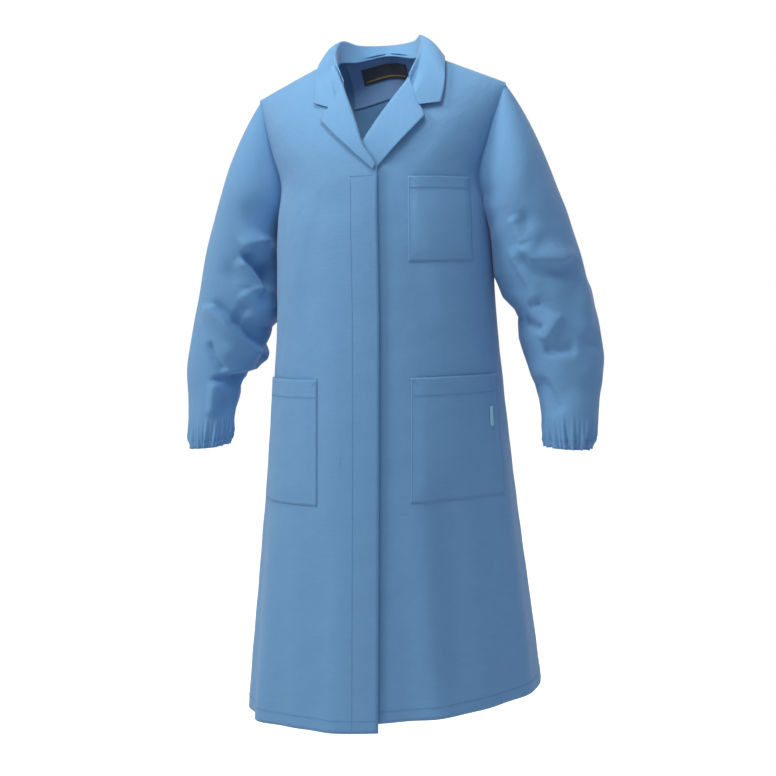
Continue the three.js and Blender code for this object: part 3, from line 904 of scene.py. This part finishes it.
neck_seam = ends_apart(
    [on_neckline(0, -3.9, -5), on_neckline(NEAR_NAPE, -3.9, -6), (NECK_HALF - 6, 3, NECK_POINT - 7)],
    right=[(-58, -33, -22), (-44, -62, -42)],
    left=[(65, -33, -22), (65, -60, -40)],
)
collar_fold = ends_apart(
    [on_neckline(0, STAND_LEAN, STAND_TOP - NAPE), on_neckline(NEAR_NAPE, STAND_LEAN, STAND_TOP - NAPE + 9),
     (NECK_HALF - 8, 12, STAND_TOP + 1)],
    right=[(-64, -26, 6), (-38, -72, -44)],
    left=[(73, -26, 8), (64, -70, -40)],
)
collar_edge = smooth_curve([
    *[over_front(*at) for at in ((-83, 62, 8), (-85, 40, 8), (-87, 17, 8), (-87, 0.5, 6))],
    *[back_neck(x, drop, 6) for x, drop in ((-82, 16), (-50, 36), (0, 46), (50, 36), (84, 16))],
    *[over_front(*at) for at in ((103, 0.5, 6), (111, 17, 8), (115, 42, 8), (115, 68, 8))],
])

# %% Collar
STAND_SHARE = 0.32
FALL_ROLL, FALL_LIFT = 6, 9.5  # how far the fall rises over the fold and off the chest
# Down each leaf's end: the roll line, the middle of the gorge seam, the notch and the point.
LEAF_ENDS = {
    -1: ((-36, -43, -51, -83), (-49, -72, -87, -75)),
    1: ((63, 73, 83, 115), (-46, -64, -89, -85)),
}
NOTCH_SHARE = 0.72


def collar(u, v):
    stand = np.clip(v / STAND_SHARE, 0, 1)
    fall = np.clip((v - STAND_SHARE) / (1 - STAND_SHARE), 0, 1)
    seam_at, fold_at, edge_at = neck_seam(u), collar_fold(u), collar_edge(u)
    is_stand = (v < STAND_SHARE)[..., None]
    stand_at, fall_at = lerp(seam_at, fold_at, stand[..., None]), lerp(fold_at, edge_at, fall[..., None])
    point = np.where(is_stand, stand_at, fall_at)
    point[..., 2] += FALL_ROLL * np.sin(np.pi * fall)
    x, z = point[..., 0], point[..., 2]
    for side, (end_x, end_z) in LEAF_ENDS.items():
        end = smooth(side * (2 * u - 1), 0.66, 1.0) ** 3 * smooth(fall, 0, 0.12)
        knots = (0, NOTCH_SHARE / 2, NOTCH_SHARE, 1)
        x = lerp(x, np.interp(fall, knots, end_x), end)
        z = lerp(z, np.interp(fall, knots, end_z), end)
    on_chest = coat_point(1, front_angle(x, z), z, FALL_LIFT)[..., 1]
    is_front = smooth(ridge(x) - z, 14, 56) * smooth(fall, 0.0, 0.5) * smooth(np.abs(2 * u - 1), 0.5, 0.8)
    y = lerp(point[..., 1], on_chest, is_front)
    return np.stack([x, y, z], -1)


collar_piece = cloth("collar", collar, 120, 44, thickness=1.3)
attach(collar_piece, "torso")
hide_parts("collar_stand", "collar_fall")
collar_lines = [
    along(collar, (0.03, 0.955), (0.97, 0.955), 600),
    along(collar, (0.012, 0.42), (0.012, 0.95), 120),
    along(collar, (0.988, 0.42), (0.988, 0.95), 120),
]
collar_row = stitch_row("collar_stitching", collar_lines, 0.75, flip=True)
seam_line = along(collar, (0.04, 0.03), (0.96, 0.03), 400)
seam_row = stitch_row("neck_seam_stitching", [seam_line], 0.75, flip=True)
for row in (collar_row, seam_row):
    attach(row, "torso")


# %% Back neck facing and label
def inside_back(half_span, top_drop, bottom_drop, inward, shift=0.0):
    def surface(u, v):
        x = shift + lerp(-half_span, half_span, u)
        z = back_top(x) - lerp(bottom_drop, top_drop, v)
        return coat_point(0, math.pi - front_angle(x, z), z, -inward)

    return surface


neck_facing = cloth("back_neck_facing_cloth", inside_back(NECK_HALF - 4, 2, 68, 1.2), 40, 24, inner_poplin)
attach(neck_facing, "torso")
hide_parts("back_neck_facing")

LABEL_SHIFT = -10.0
label_shape = inside_back(37, 13, 35, 3.0, LABEL_SHIFT)
label = cloth("neck_label_tape", label_shape, 30, 10, label_satin)
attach(label, "torso")
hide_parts("neck_label")
band = cloth("neck_label_band", inside_back(33, 30.4, 32.2, 3.6, LABEL_SHIFT), 24, 2, label_edge, thickness=0.3)
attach(band, "torso")

# %% [markdown]
# ## Sleeves
# A sleeve is a tube from the armhole to the wrist. Stations down the arm give the outer edge, the
# inner edge, the middle and the half depth, and each ring of cloth is an ellipse between them.
# The bent elbow pushes the spare cloth into folds, which are drawn as ridges and hollows on the
# ring. Above the elastic the whole width is gathered, so many small pleats run into the cuff.

# %% Sleeve tube
# Each station: its number, the outer edge's x and z, the inner edge's x and z, the middle's y
# and the half depth.
sleeve_size = through([
    (0, 202, -50, 173, -250, 4, 62),
    (1, 237, -112, 178, -264, 5, 70),
    (2, 270, -200, 181, -288, 7, 72),
    (3, 297, -275, 183, -328, 10, 70),
    (4, 318, -356, 188, -380, 13, 67),
    (5, 331, -420, 198, -425, 13, 65),
    (6, 341, -480, 222, -480, 5, 60),
    (7, 337, -530, 243, -530, -9, 50),
    (8, 332, -590, 252, -588, -28, 41),
    (9, 325, -612, 257, -607, -35, 35),
])
CUFF_STATION, CUFF_END, SPLIT_STATION = 8.2, 9.0, 3.25
ARMHOLE_TUCK = 2.5  # the sleeve's edge lies this far inside the armhole's edge


def armhole_point(side, turn):
    round_angle = turn * 2 * math.pi
    z = lerp(SHOULDER_TIP - 0.5, UNDERARM, (1 - np.cos(round_angle)) / 2)
    reach = outer_angle(z)
    angle = np.where(np.sin(round_angle) > 0, reach, math.pi - reach)
    point = body_point(side * angle, z)
    point[..., 0] -= side * ARMHOLE_TUCK
    return point


def sleeve_ring(side, turn, station):
    ox, oz, ix, iz, middle, depth = np.moveaxis(sleeve_size(station), -1, 0)
    c, s = np.cos(turn * 2 * math.pi), np.sin(turn * 2 * math.pi)
    ring = np.stack([side * lerp(ix, ox, (1 + c) / 2), middle - depth * s, lerp(iz, oz, (1 + c) / 2)], -1)
    return lerp(armhole_point(side, turn), ring, smooth(station, 0, 1.6)[..., None])


# %% Sleeve folds
# Each fold: its line, its height, and its widths to the left and right, going down the line.
right_sleeve_folds = (
    ([(-218, -292), (-213, -306), (-201, -322), (-191, -342), (-194, -360)], -12, 15, 5),
    ([(-222, -290), (-204, -281), (-182, -270)], 6, 12, 5),
    ([(-224, -302), (-210, -326), (-200, -350), (-206, -364)], 6, 4, 16),
    ([(-194, -312), (-172, -344), (-156, -385)], -8, 14, 10),
    ([(-196, -270), (-181, -294), (-166, -314)], 5, 6, 10),
    ([(-303, -380), (-275, -385), (-255, -405), (-238, -427), (-221, -447), (-203, -464)], 9, 4, 18),
    ([(-280, -370), (-244, -404), (-218, -432), (-196, -452)], -6, 11, 5),
    ([(-205, -448), (-208, -472), (-211, -496)], 8, 4, 16),
    ([(-284, -434), (-274, -463), (-255, -490)], -6, 5, 9),
    ([(-274, -498), (-277, -526), (-280, -562)], 6, 12, 8),
    ([(-205, -496), (-232, -500), (-258, -495), (-285, -500)], -7, 12, 4),
    ([(-219, -374), (-232, -396), (-244, -418)], -5, 10, 7),
    ([(-234, -372), (-202, -352), (-168, -358)], 4, 5, 14),
)
right_sleeve_dimples = (
    ((-238, -330), 20, 4), ((-205, -240), 26, 5), ((-262, -548), 18, 5), ((-250, -455), 14, -3),
)
left_sleeve_folds = (
    ([(212, -258), (222, -280), (232, -304)], 5, 12, 5),
    ([(220, -296), (247, -322), (286, -327), (306, -310)], 8, 20, 6),
    ([(218, -312), (250, -338), (286, -343), (308, -326)], -4, 6, 12),
    ([(213, -300), (222, -328), (240, -362), (250, -396)], 5, 15, 6),
    ([(286, -404), (272, -428), (258, -452)], 7, 7, 18),
    ([(254, -460), (282, -462), (310, -458)], -6, 12, 8),
    ([(222, -414), (240, -422), (262, -430)], -7, 6, 10),
    ([(234, -396), (256, -388)], -4, 6, 6),
    ([(242, -500), (262, -520), (284, -560)], -5, 9, 14),
    ([(322, -330), (316, -390), (322, -450)], 4, 10, 10),
)
left_sleeve_dimples = (((234, -268), 15, 6), ((262, -300), 16, 4), ((300, -520), 26, 4), ((328, -450), 14, 4))
sleeve_folds = {-1: (right_sleeve_folds, right_sleeve_dimples), 1: (left_sleeve_folds, left_sleeve_dimples)}
FOLD_SCALE = 1.25
# How far the inner side of each sleeve stands out, at drops below the neck: it bags over the elbow.
INNER_SHAPE = {
    -1: ((360, 385, 399, 418, 445, 466, 487, 497, 520, 556, 605), (0, 8, 6, -7, -4, -3, -4, -15, -12, -9, -7)),
    1: ((220, 240, 345, 379, 401, 415, 445, 470, 500), (0, 8, 9, 0, -14, -17, -6, -3, 0)),
}
BEHIND_DROP = 14  # the folds at the back of a sleeve lie this much lower
GATHER_START = 7.3
PLEATS = 15


def sleeve_relief(side, point, turn, station):
    """How far the cloth stands out from the plain tube."""
    x, z = point[..., 0], point[..., 2]
    round_angle = turn * 2 * math.pi
    facing = np.sin(round_angle)
    folds, dimples = sleeve_folds[side]
    seen = folds_and_dimples(x, z, folds, dimples)
    behind = folds_and_dimples(x, z + BEHIND_DROP, folds, dimples)
    out = FOLD_SCALE * (seen * smooth(facing, 0, 0.45) + 0.9 * behind * smooth(-facing, 0, 0.45))
    out = out + 1.5 * ripples(turn * 300, station * 62, 11 + side, 60) * smooth(station, 0.6, 2.0)
    gathered = smooth(station, GATHER_START, CUFF_STATION)
    wander = 0.25 * np.sin(round_angle * 3 + station * 1.7) + 0.12 * np.sin(round_angle * 7 + 2)
    pleat = np.cos(2 * math.pi * PLEATS * (turn + 0.05 * wander))  # its spacing wanders
    fine = np.cos(2 * math.pi * (PLEATS * 2 + 5) * turn + 1.3 + 2 * station)
    uneven = 0.75 + 0.45 * np.sin(round_angle * 5 + 1.0 + side) * np.cos(round_angle * 2 + station)
    sharp = 1 - 2 * np.abs(np.sin(math.pi * PLEATS * (turn + 0.05 * wander))) ** 0.7
    pinch = 1 - 0.3 * np.exp(-(((station - 8.6) / 0.2) ** 2))
    ruffle = pinch * (2.6 * sharp * uneven + 1.2 * fine + 0.8 * pleat)
    return out * (1 - 0.8 * gathered) + gathered * ruffle


def sleeve_point(side, turn, station):
    tiny = 1e-3
    base = sleeve_ring(side, turn, station)
    across = sleeve_ring(side, turn + tiny, station) - sleeve_ring(side, turn - tiny, station)
    down = sleeve_ring(side, turn, station + tiny) - sleeve_ring(side, turn, np.maximum(station - tiny, 0.002))
    normal = side * np.cross(across, down)
    normal /= np.linalg.norm(normal, axis=-1)[..., None] + 1e-9
    relief = sleeve_relief(side, base, turn, station)
    inner = -np.cos(turn * 2 * math.pi)
    relief = relief + smooth(inner, 0.1, 1) * np.interp(-base[..., 2], *INNER_SHAPE[side])
    relief = relief + 3 * smooth(-inner, 0.2, 1) * np.exp(-(((station - 5.3) / 0.9) ** 2))
    return base + normal * (relief * smooth(station, 0.05, 0.8))[..., None]


SPLIT_LAP, SPLIT_DIP = 0.045, 0.12


def sleeve_part(side, start, end, dips=(0, 0), inward=0.0):
    """Part of the tube. A dipping end slips just under the next part, so no line shows there."""

    def surface(u, v):
        station = lerp(end, start, v)
        point = sleeve_point(side, u - 0.5, station)
        under = inward + dips[0] * (v > 0.9999) + dips[1] * (v < 0.0001)
        middle = sleeve_ring(side, 0 * u, station) * 0.5 + sleeve_ring(side, 0 * u + 0.5, station) * 0.5
        axis = middle - point
        axis /= np.linalg.norm(axis, axis=-1)[..., None]
        return point + axis * np.asarray(under)[..., None]

    return surface


print("sleeve wrist at", [round(float(c)) for c in sleeve_point(1, np.array(0.0), np.array(9.0))])


# %% Sleeves and cuffs
def hang_on_shoulder(piece):
    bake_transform(piece)


def hang_on_elbow(piece):
    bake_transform(piece)


for word, side in SIDES:
    top = sleeve_part(side, 0.0, SPLIT_STATION + SPLIT_LAP, dips=(0, SPLIT_DIP))
    low = sleeve_part(side, SPLIT_STATION - SPLIT_LAP, CUFF_STATION + 0.02, dips=(SPLIT_DIP, 0))
    sleeve = cloth(f"{word}_sleeve_top", top, 140, 84, closed=True)
    hang_on_shoulder(sleeve)
    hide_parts(f"{word}_sleeve_head", f"{word}_sleeve_upper")
    seam_lines = [along(top, (a, 0.972), (b, 0.972), 300) for a, b in ((0.02, 0.48), (0.52, 0.98))]
    sleeve_seam = stitch_row(f"{word}_armhole_stitching", seam_lines, 0.35, flip=side > 0)
    hang_on_shoulder(sleeve_seam)
    lower = cloth(f"{word}_sleeve_low", low, 200, 130, closed=True)
    hang_on_elbow(lower)
    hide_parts(f"{word}_sleeve_elbow", f"{word}_sleeve_forearm")
    casing_shape = sleeve_part(side, CUFF_STATION, CUFF_END)
    casing = cloth(f"{word}_cuff_gathers", casing_shape, 260, 22, thickness=1.0, closed=True)
    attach(casing, f"{word}_forearm")
    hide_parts(f"{word}_cuff_casing")
    cuff_lines = [along(casing_shape, (0.01, share), (0.99, share), 900) for share in (0.93, 0.16)]
    cuff_row = stitch_row(f"{word}_cuff_stitching", cuff_lines, 0.45, flip=side > 0)
    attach(cuff_row, f"{word}_forearm")
    braid_shape = sleeve_part(side, CUFF_STATION + 0.15, CUFF_END - 0.15, inward=2.2)
    braid = cloth(f"{word}_cuff_braid", braid_shape, 200, 8, elastic_braid, closed=True)
    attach(braid, f"{word}_forearm")
    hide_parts(f"{word}_cuff_elastic")

# %% [markdown]
# ## Long seams and hems
# The long rows hold the coat together: the fly row down the outer front, the hem, the armhole
# edges and the seam down the middle of the back. Each row lies on the same surface as its panel.

# %% Seam and hem stitching
FLY_ROW, HEM_ROW = -12.5, 18


def front_line(side, xs, zs, lift=0.0, steps=900):
    t = np.linspace(0, 1, steps + 1)
    x, z = lerp(xs[0], xs[1], t), lerp(zs[0], zs[1], t)
    angle = front_angle(x, z)
    points = coat_point(side, angle, z, lift)
    return points, np.stack([np.sin(angle), -np.cos(angle), 0 * angle], -1)


for word, side in SIDES:
    surface, back_surface = front_panel(side), back_panel(side)
    hem_share = LOW_SHARE * HEM_ROW / (UNDERARM - COAT_LENGTH)
    hem = (0.005, hem_share), (0.995, hem_share), 400
    armhole = (0.955, LOW_SHARE + 0.012), (0.955, 0.985), 300
    for part, line in (("hem", hem), ("armhole", armhole)):
        row = stitch_row(f"{word}_front_{part}_stitching", [along(surface, *line)], flip=side < 0)
        hang_on_front(row)
    back_rows = [
        along(back_surface, *hem),
        along(back_surface, (0.02, 0.005), (0.02, 0.97), 900),
        along(back_surface, *armhole),
        along(back_surface, (0.03, 0.978), (0.95, 0.978), 300),
    ]
    back_row = stitch_row(f"{word}_back_stitching", back_rows, flip=side > 0)
    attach(back_row, "torso")

fly_rows = [
    front_line(-1, (FLY_ROW, FLY_ROW), (COAT_LENGTH + 4, BREAK - 10)),
    front_line(-1, (FLY_ROW, 22), (BREAK - 12, BREAK - 12), steps=80),
    front_line(-1, (-31, -31), (-625, -607), steps=40),
]
fly_row = stitch_row("fly_stitching", fly_rows)
hang_on_front(fly_row)
